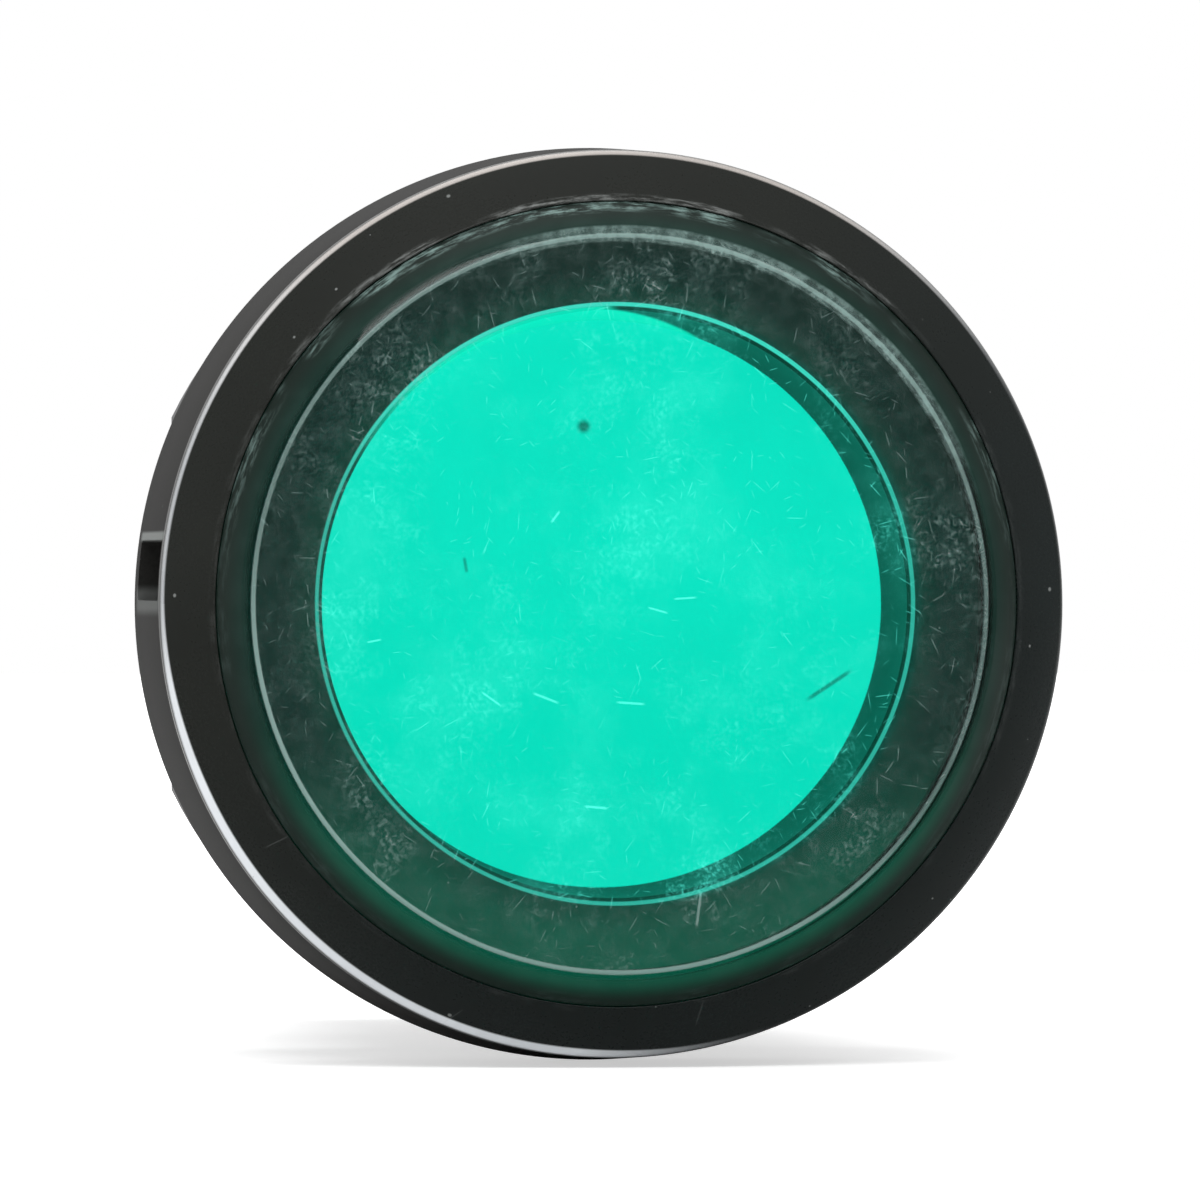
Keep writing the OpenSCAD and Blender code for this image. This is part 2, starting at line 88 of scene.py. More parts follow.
def arc(x: float, y: float, r: float, start: float, end: float, steps: int) -> list[Point]:
    """Gives the points of an arc.

    Args:
        x: Radius of the arc's centre.
        y: Height of the arc's centre.
        r: Radius of the arc.
        start: First angle, in degrees.
        end: Last angle, in degrees.
        steps: Number of steps between them.

    Returns:
        Points of (radius, height).
    """
    angles = [radians(start + (end - start) * i / steps) for i in range(steps + 1)]
    return [(x + r * cos(a), y + r * sin(a)) for a in angles]


# ---------------------------------------------------------------------------
# Shader graphs
# ---------------------------------------------------------------------------


class Term:
    """A socket that can stand in a Python expression."""

    def __init__(self, graph: "Graph", socket: Optional[bpy.types.NodeSocket]) -> None:
        """Wraps a node's output socket."""
        self.graph = graph
        self.socket = socket

    def __add__(self, other: "Value") -> "Term":
        """Adds a value."""
        return self.graph.math("ADD", self, other)

    __radd__ = __add__

    def __mul__(self, other: "Value") -> "Term":
        """Multiplies by a value."""
        return self.graph.math("MULTIPLY", self, other)

    __rmul__ = __mul__

    def __sub__(self, other: "Value") -> "Term":
        """Subtracts a value."""
        return self.graph.math("SUBTRACT", self, other)

    def __rsub__(self, other: "Value") -> "Term":
        """Subtracts this term from a value."""
        return self.graph.math("SUBTRACT", other, self)

    def __truediv__(self, other: "Value") -> "Term":
        """Divides by a value."""
        return self.graph.math("DIVIDE", self, other)

    def __gt__(self, other: "Value") -> "Term":
        """Gives 1 where this term is above a value."""
        return self.graph.math("GREATER_THAN", self, other)

    def __abs__(self) -> "Term":
        """Gives the size without the sign."""
        return self.graph.math("ABSOLUTE", self)


Value = Union[Term, float, int]


class Graph:
    """The node tree of a material or a world."""

    def __init__(self, tree: bpy.types.NodeTree) -> None:
        """Empties a node tree and works in it."""
        self.tree = tree
        tree.nodes.clear()

    def node(
        self,
        kind: str,
        settings: Optional[dict[str, object]] = None,
        values: Optional[dict[Union[str, int], object]] = None,
        output: Union[str, int] = 0,
    ) -> Term:
        """Adds a node.

        Args:
            kind: The node's type.
            settings: Its properties.
            values: Values or terms of its input sockets.
            output: The output socket that is wanted.

        Returns:
            The output socket as a term.
        """
        made = self.tree.nodes.new(kind)
        for name, setting in (settings or {}).items():
            setattr(made, name, setting)
        for name, value in (values or {}).items():
            if isinstance(value, Term):
                self.tree.links.new(value.socket, made.inputs[name])
            else:
                made.inputs[name].default_value = value
        return Term(self, made.outputs[output] if made.outputs else None)

    def math(self, operation: str, *values: Value) -> Term:
        """Adds a Math node for an operation on values."""
        return self.node("ShaderNodeMath", {"operation": operation}, dict(enumerate(values)))

    def step(self, value: Value, start: float, end: float) -> Term:
        """Rises smoothly from 0 at start to 1 at end, which may be the lower.

        Args:
            value: What the step reads.
            start: Where it is 0.
            end: Where it is 1.

        Returns:
            The step, from 0 to 1.
        """
        low, high, first, last = (start, end, 0, 1) if start < end else (end, start, 1, 0)
        return self.node(
            "ShaderNodeMapRange",
            {"interpolation_type": "SMOOTHSTEP"},
            {"Value": value, "From Min": low, "From Max": high, "To Min": first, "To Max": last},
        )

    def point(self) -> tuple[Term, Term, Term, Term]:
        """Gives the Object coordinates in mm: the vector, and its x, y and z.

        Returns:
            The vector, x, y and z, in mm.
        """
        raw = self.node("ShaderNodeTexCoord", output="Object")
        place = self.node(
            "ShaderNodeVectorMath", {"operation": "SCALE"}, {0: raw, "Scale": 1 / MM}
        )
        split = self.tree.nodes.new("ShaderNodeSeparateXYZ")
        self.tree.links.new(place.socket, split.inputs[0])
        x, y, z = (Term(self, out) for out in split.outputs)
        return place, x, y, z

    def distance(self, x: Term, z: Term) -> Term:
        """Gives the length of a flat vector from its two parts."""
        return self.math("SQRT", x * x + z * z)

    def vector(self, x: Value, y: Value, z: Value) -> Term:
        """Joins three values into a vector."""
        return self.node("ShaderNodeCombineXYZ", None, {0: x, 1: y, 2: z})

    def noise(self, place: Term, scale: float, detail: float = 2, rough: float = 0.5) -> Term:
        """Gives a noise from 0 to 1 whose blots are about 1 / scale wide."""
        values = {"Vector": place, "Scale": scale, "Detail": detail, "Roughness": rough}
        return self.node("ShaderNodeTexNoise", None, values)

    def blend(self, factor: Value, first: object, second: object) -> Term:
        """Mixes two colours, each a term or three numbers.

        Args:
            factor: Share of the second colour.
            first: The first colour.
            second: The second colour.

        Returns:
            The mixed colour.
        """
        pair = [c if isinstance(c, Term) else (*c, 1) for c in (first, second)]
        return self.node(
            "ShaderNodeMix",
            {"data_type": "RGBA"},
            {0: factor, 6: pair[0], 7: pair[1]},
            output=2,
        )

    def bump(self, height: Term, strength: float, depth: float) -> Term:
        """Gives the normal of a rough surface whose relief is depth mm."""
        values = {"Strength": strength, "Distance": depth * MM, "Height": height}
        return self.node("ShaderNodeBump", None, values)

    def surface(self, **values: object) -> Term:
        """Adds the main shader, with underscores for the spaces of socket names.

        Args:
            **values: Values or terms of the shader's sockets.

        Returns:
            The shader.
        """
        named = {k.replace("_", " "): v for k, v in values.items()}
        if "IOR Level" in named:
            named["Specular IOR Level"] = named.pop("IOR Level")
        for key in ("Base Color", "Emission Color"):
            if key in named and not isinstance(named[key], Term):
                named[key] = (*named[key], 1)
        return self.node("ShaderNodeBsdfPrincipled", None, named)

    def over(self, factor: Value, under: Term, upper: Term) -> Term:
        """Lays one shader over another."""
        return self.node("ShaderNodeMixShader", None, {0: factor, 1: under, 2: upper})

    def specks(self, place: Term, scale: float, size: float, share: float) -> Term:
        """Scatters dots.

        Args:
            place: Coordinates in mm.
            scale: Dots a mm, before most are left out.
            size: Radius of the largest dot, in mm.
            share: Share of the dots that is kept.

        Returns:
            A mask, 1 on a dot.
        """
        cell = self.tree.nodes.new("ShaderNodeTexVoronoi")
        cell.inputs["Scale"].default_value = scale
        self.tree.links.new(place.socket, cell.inputs["Vector"])
        chance = Term(self, cell.outputs["Color"])
        split = self.tree.nodes.new("ShaderNodeSeparateColor")
        self.tree.links.new(chance.socket, split.inputs[0])
        kept = Term(self, split.outputs[0]) > 1 - share
        near = Term(self, cell.outputs["Distance"]) / (scale * size)
        width = 0.3 + 0.7 * Term(self, split.outputs[1])
        return kept * self.step(near / width, 1, 0.5)

    def scratches(
        self, x: Term, z: Term, scale: float, length: float, width: float, share: float
    ) -> Term:
        """Scatters short straight scratches on the plane of x and z.

        Args:
            x: First coordinate, in mm.
            z: Second coordinate, in mm.
            scale: Cells a mm, each with one scratch at most.
            length: Half the length of a scratch, in mm.
            width: Half its width, in mm.
            share: Share of the cells that has a scratch.

        Returns:
            A mask, 1 on a scratch.
        """
        cell = self.tree.nodes.new("ShaderNodeTexVoronoi")
        cell.inputs["Scale"].default_value = scale
        self.tree.links.new(self.vector(x, z, 0).socket, cell.inputs["Vector"])
        chance = self.tree.nodes.new("ShaderNodeSeparateColor")
        self.tree.links.new(cell.outputs["Color"], chance.inputs[0])
        spot = self.tree.nodes.new("ShaderNodeSeparateXYZ")
        self.tree.links.new(cell.outputs["Position"], spot.inputs[0])
        turn = Term(self, chance.outputs[0]) * pi
        dx, dz = x - Term(self, spot.outputs[0]), z - Term(self, spot.outputs[1])
        c, s = self.math("COSINE", turn), self.math("SINE", turn)
        along = abs(dx * c + dz * s)
        across = abs(dz * c - dx * s)
        kept = Term(self, chance.outputs[1]) > 1 - share
        return kept * self.step(across, width, 0.2 * width) * self.step(along, length, 0.4 * length)

    def stroke(self, x: Term, z: Term, start: Point, end: Point, width: float) -> Term:
        """Draws one straight mark on the plane of x and z.

        Args:
            x: First coordinate, in mm.
            z: Second coordinate, in mm.
            start: Where the mark starts.
            end: Where it ends.
            width: Half its width, in mm.

        Returns:
            A mask, 1 on the mark.
        """
        mid = ((start[0] + end[0]) / 2, (start[1] + end[1]) / 2)
        turn = atan2(end[1] - start[1], end[0] - start[0])
        half = Vector((end[0] - start[0], end[1] - start[1])).length / 2
        dx, dz = x - mid[0], z - mid[1]
        along = abs(dx * cos(turn) + dz * sin(turn))
        across = abs(dz * cos(turn) - dx * sin(turn))
        return self.step(across, width, 0.3 * width) * self.step(along, half, 0.6 * half)


# ---------------------------------------------------------------------------
# Finishes
# ---------------------------------------------------------------------------


@dataclass(frozen=True)
class Finish:
    """A procedural material that fills one of the record's slots."""

    slot: str
    colour: Colour
    rough: float = 0.4

    def material(self) -> bpy.types.Material:
        """Builds the material, once for each slot.

        Returns:
            The material.
        """
        made = bpy.data.materials.get(self.slot + "_finish")
        if made is None:
            made = bpy.data.materials.new(self.slot + "_finish")
            made.use_nodes = True
            graph = Graph(made.node_tree)
            graph.node("ShaderNodeOutputMaterial", None, {"Surface": self.shade(graph)})
        return made

    def shade(self, g: Graph) -> Term:
        """Gives the surface shader."""
        raise NotImplementedError

    def dress(self, piece: bpy.types.Object) -> None:
        """Puts the finish on every face of a piece.

        Args:
            piece: The piece.
        """
        piece.data.materials.clear()
        piece.data.materials.append(self.material())
        for face in piece.data.polygons:
            face.material_index = 0


@dataclass(frozen=True)
class Moulded(Finish):
    """Moulded plastic or lacquer, with flow marks, a fine grain and some dust."""

    grain: float = 0.004
    dust: float = 0.1
    shine: float = 0.5

    def shade(self, g: Graph) -> Term:
        """Gives the surface shader.

        Args:
            g: The graph to work in.

        Returns:
            The shader.
        """
        place, x, y, z = g.point()
        flow = g.noise(place, 0.35, 4)
        fine = g.noise(place, 14, 2)
        dark = tuple(0.82 * c for c in self.colour)
        colour = g.blend(flow, dark, tuple(1.18 * c for c in self.colour))
        rough = self.rough * (0.85 + 0.2 * flow + 0.15 * fine)
        body = g.surface(
            Base_Color=colour,
            Roughness=rough,
            IOR_Level=self.shine,
            Normal=g.bump(fine, 0.5, self.grain),
        )
        dust = g.surface(Base_Color=(0.32, 0.32, 0.3), Roughness=0.9, IOR_Level=0.1)
        mask = g.specks(place, 1.1, 0.07, self.dust) * 0.6
        return g.over(mask, body, dust)


def streaked(g: Graph, side: Term, r: Term) -> Term:
    """Gives the broken streaks of dust that lie round the foot of the lens.

    Args:
        g: The graph to work in.
        side: Angle round the light's axis, in radians.
        r: Distance from that axis, in mm.

    Returns:
        A mask, 1 on a streak.
    """
    fine = g.noise(g.vector(side * 14, r * 8, 0), 1, 4, 0.7)
    coarse = g.noise(g.vector(side * 5, r * 0.6, 3), 1, 2)
    return g.step(fine, 0.42, 0.66) * g.step(coarse, 0.4, 0.62)


@dataclass(frozen=True)
class BlackGloss(Finish):
    """Black plastic of the head: a polished front, a duller wall, dust and lint; a painted
    highlight on the rim, painted highlights at the notch's edges, and painted light and shade
    across the face.
    """

    rim_r: float = 14.2
    rim_h: float = 8.6
    lip_r: float = 12.58

    def shade(self, g: Graph) -> Term:
        """Gives the surface shader.

        Args:
            g: The graph to work in.

        Returns:
            The shader.
        """
        place, x, y, z = g.point()
        cloud = g.noise(place, 0.3, 4)
        grain = g.noise(place, 9, 3)
        r = g.distance(x, z)
        side = g.math("ARCTAN2", z, x)
        front = g.step(y, 0.6 - self.rim_h, -0.1 - self.rim_h)
        # Painted light and shade: the black is lighter towards the upper left and darker and
        # greener towards the lower right.
        painted_light_tone = g.blend(g.step(z - x, -12, 12), (0.0115, 0.0165, 0.016), (0.019, 0.021, 0.018))
        colour = g.blend(cloud * 0.6, painted_light_tone, self.colour)
        body = g.surface(
            Base_Color=colour,
            Roughness=self.rough * (0.7 + 0.4 * cloud + 0.35 * grain),
            IOR_Level=0.26,
            Normal=g.bump(grain, 0.4, 0.002),
        )
        wall = g.surface(
            Base_Color=g.blend(grain, (0.013, 0.0128, 0.012), (0.026, 0.0255, 0.024)),
            Roughness=0.62,
            IOR_Level=0.05,
        )
        skin = g.over(g.step(y, 0.45 - self.rim_h, 0.6 - self.rim_h), body, wall)
        # Painted highlight along the rim's rounded edge: light grey, widest and brightest at the
        # lower left, warmer at the top, fainter at the left, with a little painted glow at the
        # lower left.
        low_left = g.step(abs(side + 2.2), 1.0, 0.5)
        top = g.step(abs(side - 1.65), 1.3, 0.45)
        left = g.step(x, 0, -6)
        width = 0.08 + 0.14 * low_left + 0.03 * top
        ahead = g.step(y, 0.26 - self.rim_h, 0.12 - self.rim_h)
        rim_highlight_band = g.step(14.16 - r, width + 0.05, width - 0.02) * ahead
        shine = rim_highlight_band * g.math("MINIMUM", 0.95 * low_left + 0.9 * top + 0.55 * left, 1.0)
        rim_highlight_surface = g.surface(
            Base_Color=g.blend(top, (0.84, 0.87, 0.9), (0.54, 0.5, 0.47)),
            Roughness=0.45,
            IOR_Level=0.3,
            Emission_Color=g.blend(low_left, (0.0, 0.0, 0.0), (0.07, 0.075, 0.08)),
            Emission_Strength=1.0,
        )
        with_rim_highlight = g.over(shine * (0.75 + 0.25 * cloud), skin, rim_highlight_surface)
        near = g.step(abs(r - self.lip_r - 0.14 * cloud), 0.16, 0.03)
        foot = near * streaked(g, side, r) * (0.06 + 0.45 * g.step(z, 4, 10.5))
        lint = g.scratches(x, z, 0.55, 0.5, 0.03, 0.1)
        specks = g.specks(place, 1.6, 0.06, 0.22) + g.specks(place, 0.8, 0.09, 0.2)
        marks = (specks * 0.5 + lint * 0.1 + foot) * (0.25 + 0.75 * front)
        # Painted highlights on the notch's upper edge and, fainter, near its lower edge, drawn with
        # the same surface as the dust.
        notch_highlight_bars = g.step(abs(z - 2.12), 0.2, 0.07) + 0.45 * g.step(abs(z - 0.1), 0.55, 0.2)
        notch = notch_highlight_bars * g.step(x, -13.2, -13.6) * g.step(abs(y + 5.1), 3.4, 2.6)
        dust = g.surface(Base_Color=(0.34, 0.36, 0.35), Roughness=0.9, IOR_Level=0.1)
        return g.over(g.math("MINIMUM", marks + 0.6 * notch, 0.8), with_rim_highlight, dust)


@dataclass(frozen=True)
class LensGreen(Finish):
    """Clear green plastic of the lens, polished and then worn with scuffs in use; painted
    highlights on its front edge and shoulder, and painted glow from the diffuser.
    """

    flat_r: float = 11.45
    mouth_r: float = 9.38
    top_h: float = 10.75
    # Longer light scratches on the flat front, each from one (x, z) to another, in mm
    strokes: tuple[tuple[Point, Point, float], ...] = (
        ((-1.2, -6.28), (-0.4, -6.35), 0.05),
        ((-0.2, -3.05), (0.8, -3.12), 0.05),
        ((-2.8, -2.75), (-1.9, -3.1), 0.05),
        ((-4.4, -2.7), (-3.7, -3.2), 0.04),
        ((-7.95, -1.2), (-7.45, -1.1), 0.04),
        ((1.6, 0.15), (2.4, 0.2), 0.04),
        ((0.8, -0.1), (1.5, -0.3), 0.04),
        ((-2.2, 2.5), (-1.9, 2.9), 0.05),
        ((2.5, -8.9), (2.35, -10.1), 0.06),
    )
    # Smudges of fine scratches, each at (x, z) with a radius, in mm
    smudges: tuple[tuple[float, float, float], ...] = (
        (-6.9, 7.4, 1.9),
        (7.4, -7.2, 1.9),
        (2.6, -9.0, 1.6),
        (-8.1, -5.7, 1.3),
        (-7.3, -7.5, 1.4),
        (0.6, 10.2, 1.5),
        (10.3, 2.0, 1.3),
    )

    def smudged(self, g: Graph, place: Term, x: Term, z: Term) -> Term:
        """Gives the fine scratches on the front, most of them in the smudges.

        Args:
            g: The graph to work in.
            place: Coordinates in mm.
            x: First coordinate on the front, in mm.
            z: Second coordinate on the front, in mm.

        Returns:
            A mask, 1 on a scratch.
        """
        patches = g.step(g.noise(place, 1.7, 3, 0.6), 0.36, 0.62)
        fine = g.step(g.noise(place, 6.5, 3, 0.7), 0.42, 0.72) * patches
        spread = g.step(g.noise(place, 0.3, 4, 0.65), 0.42, 0.66) * 0.55
        for at_x, at_z, radius in self.smudges:
            away = g.distance(x - at_x, z - at_z)
            spread = spread + g.step(away, radius, 0.2)
        return fine * g.math("MINIMUM", spread, 1.0)

    def shade(self, g: Graph) -> Term:
        """Gives the surface shader.

        Args:
            g: The graph to work in.

        Returns:
            The shader.
        """
        place, x, y, z = g.point()
        r = g.distance(x, z)
        side = g.math("ARCTAN2", z, x)
        clear = g.surface(
            Base_Color=self.colour, Roughness=self.rough, Transmission_Weight=1.0, IOR=1.42
        )
        front = g.step(y, 0.06 - self.top_h, 0.02 - self.top_h)
        ring = g.step(r, self.mouth_r - 0.25, self.mouth_r + 0.15) * front
        short = g.scratches(x, z, 1.1, 0.34, 0.022, 0.35)
        light = g.scratches(x + 3.1, z - 1.7, 2.3, 0.16, 0.02, 0.6)
        spokes = g.scratches(side * 11, r, 1.5, 0.34, 0.03, 0.35) * g.step(abs(r - 9.6), 0.9, 0.2)
        varied = g.step(g.noise(place, 0.9, 3), 0.35, 0.65)
        dots = g.specks(place, 1.5, 0.045, 0.14)
        lines: Value = 0.0
        for start, end, width in self.strokes:
            lines = g.stroke(x, z, start, end, width) + lines
        scuff = self.smudged(g, place, x, z)
        hazy = g.step(g.noise(place, 0.28, 4, 0.6), 0.45, 0.72)
        mottle = g.step(g.noise(place, 1.4, 5, 0.75), 0.38, 0.68)
        rub = (0.3 * short + 0.26 * light) * varied + 0.26 * spokes
        plain = ring * (0.022 + 0.05 * mottle) + 0.006
        wear = front * (plain + rub + 0.4 * scuff + 0.5 * lines) + 0.07 * (front - ring) * hazy
        # Painted highlights: a line round the front's outer edge, strongest at the lower left, and
        # a band on the upper right of the shoulder, textured with the scuffs and mottle.
        upper = g.step(z, 1, 8)
        lower = g.step(x * -0.5 - z, 1, 9)
        outside = g.step(y, 0.3 - self.top_h, 0.2 - self.top_h)
        around = 0.32 + 0.12 * upper + 0.4 * lower
        edge = outside * g.step(abs(r - self.flat_r), 0.1, 0.04) * around
        land = outside * g.step(abs(r - self.flat_r - 0.06), 0.3, 0.2)
        shoulder_highlight = land * g.step(abs(side - 1.15), 0.9, 0.5) * (0.1 + 0.6 * scuff + 0.36 * mottle)
        mask = g.math("MINIMUM", wear + 0.3 * dots * front + edge + shoulder_highlight, 0.75)
        # Painted light from the diffuser: over the lit disc the scuffs and haze are greener and
        # glow.
        glow = g.blend(front - ring, (0.0, 0.0, 0.0), (0.1, 1.0, 0.82))
        scuffs_and_highlights = g.surface(
            Base_Color=g.blend(front - ring, (0.28, 0.42, 0.39), (0.04, 0.36, 0.3)),
            Roughness=0.7,
            IOR_Level=0.2,
            Emission_Color=glow,
            Emission_Strength=1.0,
        )
        # The shoulder is drawn nearly opaque in dark green, with a painted green glow towards its
        # bottom.
        depth = g.step(r, self.flat_r + 0.08, self.flat_r + 0.3) * g.step(y, -7.5, -9)
        low = g.step(z, -2, -9.5) * g.step(r, self.flat_r + 0.95, self.flat_r + 0.2)
        outer = g.step(r, self.flat_r + 0.25, self.flat_r + 0.95)
        inner_tone = g.blend(varied, (0.009, 0.026, 0.021), (0.014, 0.034, 0.028))
        dark_shoulder_and_glow = g.surface(
            Base_Color=g.blend(outer, inner_tone, (0.013, 0.018, 0.016)),
            Roughness=0.4,
            IOR_Level=0.1,
            Emission_Color=g.blend(low, (0.0, 0.004, 0.002), (0.0, 0.06, 0.032)),
            Emission_Strength=1.0,
        )
        foot = depth * g.step(r, self.flat_r + 0.68, self.flat_r + 0.9)
        silt = foot * streaked(g, side, r) * (0.06 + 0.6 * upper)
        body = g.over(depth * 0.92, clear, dark_shoulder_and_glow)
        return g.over(g.math("MAXIMUM", mask, silt), body, scuffs_and_highlights)


@dataclass(frozen=True)
class LitDiffuser(Finish):
    """Milky cap over the LEDs, lit from behind, a little mottled and marked."""

    strength: float = 1.0

    def shade(self, g: Graph) -> Term:
        """Gives the surface shader.

        Args:
            g: The graph to work in.

        Returns:
            The shader.
        """
        place, x, y, z = g.point()
        cloud = g.noise(place, 0.16, 4, 0.6)
        fine = g.noise(place, 0.9, 4, 0.7)
        low = g.step(z, 4, -7)
        dim = tuple(0.88 * c for c in self.colour)
        glow = g.blend(cloud * 0.7 + fine * 0.3, dim, tuple(1.1 * c for c in self.colour))
        warm = g.blend(low * 0.5, glow, (0.0, 0.9 * self.colour[1], 0.88 * self.colour[2]))
        dot = g.step(g.distance(x + 0.5, z - 5.6), 0.3, 0.05)
        scratch = g.stroke(x, z, (6.5, -3.1), (8.1, -2.05), 0.09)
        nick = g.stroke(x, z, (-4.3, 1.5), (-4.2, 0.95), 0.07)
        marks = g.math("MINIMUM", dot + 0.7 * scratch + 0.6 * nick, 0.9)
        lit = g.blend(marks, warm, (0.0, 0.08, 0.06))
        return g.surface(
            Base_Color=(0.01, 0.1, 0.08),
            Roughness=self.rough,
            Emission_Color=lit,
            Emission_Strength=self.strength,
        )


@dataclass(frozen=True)
class SmokyCollar(Finish):
    """Dark collar under the lens, with the diffuser's light on its mouth and wall."""

    mouth_r: float = 9.38
    top_h: float = 8.6
    diffuser_h: float = 3.8

    def shade(self, g: Graph) -> Term:
        """Gives the surface shader.

        Args:
            g: The graph to work in.

        Returns:
            The shader.
        """
        place, x, y, z = g.point()
        r = g.distance(x, z)
        side = g.math("ARCTAN2", z, x)
        cloud = g.noise(place, 0.5, 4)
        dark, light = (tuple(share * c for c in self.colour) for share in (0.7, 1.3))
        colour = g.blend(cloud, dark, light)
        low = g.step(z, -3, -10.5)
        on_top = g.step(r, self.mouth_r - 0.02, self.mouth_r + 0.04)
        near = g.step(r, self.mouth_r + 1.1, self.mouth_r)
        mouth = g.step(abs(r - self.mouth_r + 0.03), 0.08, 0.04) * g.step(
            y, 0.3 - self.top_h, 0.1 - self.top_h
        )
        down = (y + self.top_h) / (self.top_h - self.diffuser_h)
        lit_side = g.step(side + 0.38 * down, 1.56, 1.64) * g.step(side, 2.7, 2.2)
        wall = (1 - on_top) * (1 - mouth)
        glowing = low * (0.6 + 0.6 * cloud) * on_top
        base = g.blend(glowing, (0.002, 0.007, 0.0055), (0.0, 0.085, 0.055))
        spread = g.blend(near * on_top * 0.7, base, (0.0, 0.035, 0.024))
        inner = g.blend(wall * 0.9, spread, (0.0, 0.035, 0.023))
        glow = g.blend(wall * lit_side, inner, (0.0, 0.82, 0.62))
        line = g.blend(mouth * (0.55 + 0.4 * g.step(z, 2, 8)), glow, (0.4, 0.82, 0.73))
        return g.surface(
            Base_Color=colour,
            Roughness=self.rough,
            IOR_Level=0.25,
            Emission_Color=line,
            Emission_Strength=1.0,
        )


@dataclass(frozen=True)
class Metal(Finish):
    """Plated or bare metal, with fine rubs along it."""

    streak: float = 6.0

    def shade(self, g: Graph) -> Term:
        """Gives the surface shader.

        Args:
            g: The graph to work in.

        Returns:
            The shader.
        """
        place, x, y, z = g.point()
        cloud = g.noise(place, 0.6, 4)
        rubs = g.noise(g.vector(x * self.streak, y, z * 0.6), 2, 3, 0.6)
        colour = g.blend(cloud, tuple(0.8 * c for c in self.colour), self.colour)
        rough = self.rough * (0.7 + 0.4 * rubs + 0.3 * cloud)
        return g.surface(
            Base_Color=colour, Roughness=rough, Metallic=1.0, Normal=g.bump(rubs, 0.3, 0.004)
        )


@dataclass(frozen=True)
class ClearCover(Finish):
    """Clear moulded plastic of the terminal guard."""

    def shade(self, g: Graph) -> Term:
        """Gives the surface shader.

        Args:
            g: The graph to work in.

        Returns:
            The shader.
        """
        place, x, y, z = g.point()
        fine = g.noise(place, 5, 3)
        clear = g.surface(
            Base_Color=self.colour,
            Roughness=self.rough,
            Transmission_Weight=1.0,
            IOR=1.3,
            Normal=g.bump(fine, 0.3, 0.003),
        )
        milky = g.surface(Base_Color=(0.5, 0.55, 0.57), Roughness=0.6)
        return g.over(0.06 + 0.06 * g.noise(place, 0.8, 3), clear, milky)


BLACK_GLOSS = BlackGloss("black_gloss", (0.0095, 0.0105, 0.0095), 0.26)
GREEN_LENS = LensGreen("green_lens", (0.12, 0.93, 0.8), 0.05)
SEAL_RUBBER = Moulded("seal_rubber", (0.02, 0.02, 0.02), 0.75, 0.02, 0.2, 0.3)
SMOKY_COLLAR = SmokyCollar("smoky_collar", (0.03, 0.035, 0.033), 0.5)
LIT_DIFFUSER = LitDiffuser("lit_diffuser", (0.0, 0.84, 0.69), 0.5, 1.0)
WHITE_BOARD = Moulded("white_board", (0.75, 0.75, 0.7), 0.5)
LED_BODY = Moulded("led_body", (0.8, 0.78, 0.55), 0.35)
BRASS = Metal("brass", (0.72, 0.52, 0.2), 0.3)
GREEN_BOARD = Moulded("green_board", (0.03, 0.2, 0.07), 0.4)
CAPACITOR_BOX = Moulded("capacitor_box", (0.5, 0.28, 0.05), 0.35)
CAPACITOR_CAN = Moulded("capacitor_can", (0.03, 0.05, 0.16), 0.3)
RESISTOR_BODY = Moulded("resistor_body", (0.55, 0.4, 0.2), 0.45)
CHIP_PLASTIC = Moulded("chip_plastic", (0.015, 0.015, 0.016), 0.55)
BLACK_MATTE = Moulded("black_matte", (0.02, 0.021, 0.022), 0.5, 0.012, 0.15)
PLATED_STEEL = Metal("plated_steel", (0.62, 0.63, 0.64), 0.32)
CLEAR_GUARD = ClearCover("clear_guard", (0.86, 0.93, 0.94), 0.12)
NUT_PLASTIC = Moulded("nut_plastic", (0.024, 0.025, 0.027), 0.45, 0.01, 0.15)


# ---------------------------------------------------------------------------
# Shop tools
# ---------------------------------------------------------------------------


def alone(piece: bpy.types.Object) -> None:
    """Selects one piece and makes it the active one.

    Args:
        piece: The piece.
    """
    bpy.ops.object.select_all(action="DESELECT")
    piece.select_set(True)
    bpy.context.view_layer.objects.active = piece


def enter_edit(piece: bpy.types.Object, everything: bool = True) -> None:
    """Opens a piece in edit mode with all or nothing of it selected.

    Args:
        piece: The piece.
        everything: Whether all of it is selected.
    """
    alone(piece)
    bpy.ops.object.mode_set(mode="EDIT")
    bpy.ops.mesh.select_all(action="SELECT" if everything else "DESELECT")


def leave_edit() -> None:
    """Goes back to object mode."""
    bpy.ops.object.mode_set(mode="OBJECT")


def settle(name: str) -> bpy.types.Object:
    """Names the new primitive and applies its place to its mesh.

    Args:
        name: Name for the piece and its mesh.

    Returns:
        The piece, at the origin and untransformed.
    """
    piece = bpy.context.object
    piece.name = name
    piece.data.name = name
    bpy.ops.object.transform_apply(location=True, rotation=True, scale=True)
    return piece


def smooth(piece: bpy.types.Object, angle: float = 30) -> None:
    """Shades a piece smoothly, with edges sharper than an angle kept sharp."""
    alone(piece)
    bpy.ops.object.shade_smooth_by_angle(angle=radians(angle))


def clean(piece: bpy.types.Object) -> None:
    """Merges doubles and turns all faces outwards.

    Args:
        piece: The piece.
    """
    enter_edit(piece)
    bpy.ops.mesh.remove_doubles(threshold=1e-7)
    bpy.ops.mesh.normals_make_consistent(inside=False)
    leave_edit()


